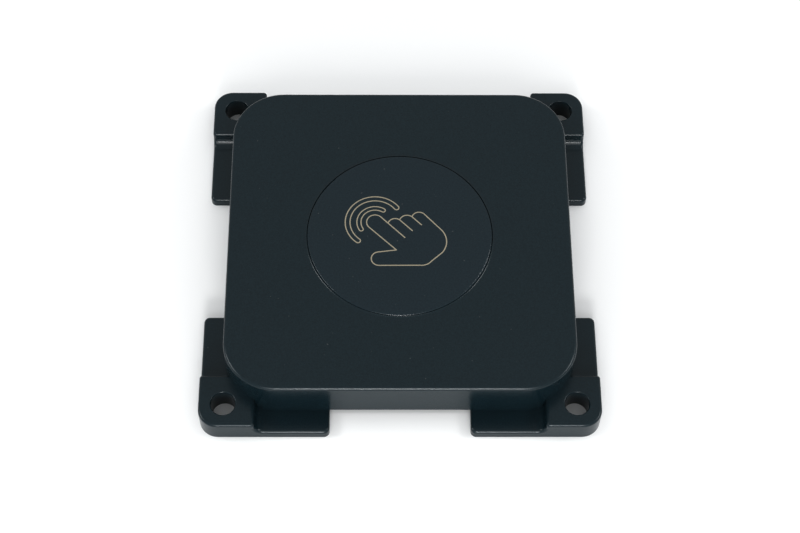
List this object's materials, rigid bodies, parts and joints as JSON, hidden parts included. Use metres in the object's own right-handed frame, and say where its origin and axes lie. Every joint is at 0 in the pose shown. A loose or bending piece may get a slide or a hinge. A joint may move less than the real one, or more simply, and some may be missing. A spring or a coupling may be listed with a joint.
{
  "type": "ticket validator",
  "caption": "Square black surface-mounted ticket validator on corner feet with fixing holes, with a round raised touch disc that presses down.",
  "frame": {"origin": "middle of the mounting surface, at the bottom centre of the part", "axes": "+Z away from the mounting surface, through the touch disc; -Y towards the user, so the tap symbol's finger points up and to the left; +X to the user's right"},
  "size_m": [0.114, 0.114, 0.017],
  "materials": {
    "case_black": "satin black moulded plastic with a fine spark-eroded grain",
    "disc_black": "satin black moulded plastic, the same grain, a shade lighter",
    "symbol_ink": "beige paint wiped into an engraved line",
    "silicone": "grey silicone",
    "spring_steel": "drawn wire",
    "plated_steel": "zinc plated",
    "tinned_metal": "tinned",
    "brass": "turned",
    "copper": "etched copper track",
    "gold_contact": "gold flash",
    "board_green": "glass-filled laminate with solder mask",
    "ferrite": "sintered ferrite, dark grey",
    "chip_epoxy": "moulded epoxy",
    "device_black": "glass-filled nylon",
    "plunger_ivory": "natural acetal",
    "capacitor_ochre": "moulded tantalum body",
    "card_white": "white plastic"
  },
  "bodies": {
    "case": {"antenna_board": "board_green", "antenna_coil": "copper", "antenna_contacts": "gold_contact", "back_cover": "case_black", "board_screws": "plated_steel", "buzzer": "device_black", "capacitors": "capacitor_ochre", "controller_chip": "chip_epoxy", "controller_leads": "tinned_metal", "cover_inserts": "brass", "cover_screws": "plated_steel", "cover_seal": "silicone", "crystal": "tinned_metal", "disc_seal": "silicone", "ferrite_sheet": "ferrite", "harness_socket": "device_black", "housing": "case_black", "main_board": "board_green", "power_inductor": "ferrite", "reader_chip": "chip_epoxy", "return_springs": "spring_steel", "sam_card": "card_white", "sam_holder": "device_black", "shield_can": "tinned_metal", "socket_pins": "gold_contact", "socket_seal": "silicone", "switch_body": "device_black", "vent_membrane": "card_white"},
    "disc": {"touch_disc": "disc_black", "symbol_fill": "symbol_ink", "switch_plunger": "plunger_ivory"}
  },
  "joints": [
    {"name": "disc_press", "type": "slide", "parent": "case", "child": "disc", "axis": [0, 0, -1], "range_m": [0, 0.0005], "stiffness_N_per_m": 1500, "springref_m": -0.002, "deforming": ["return_springs"]}
  ]
}
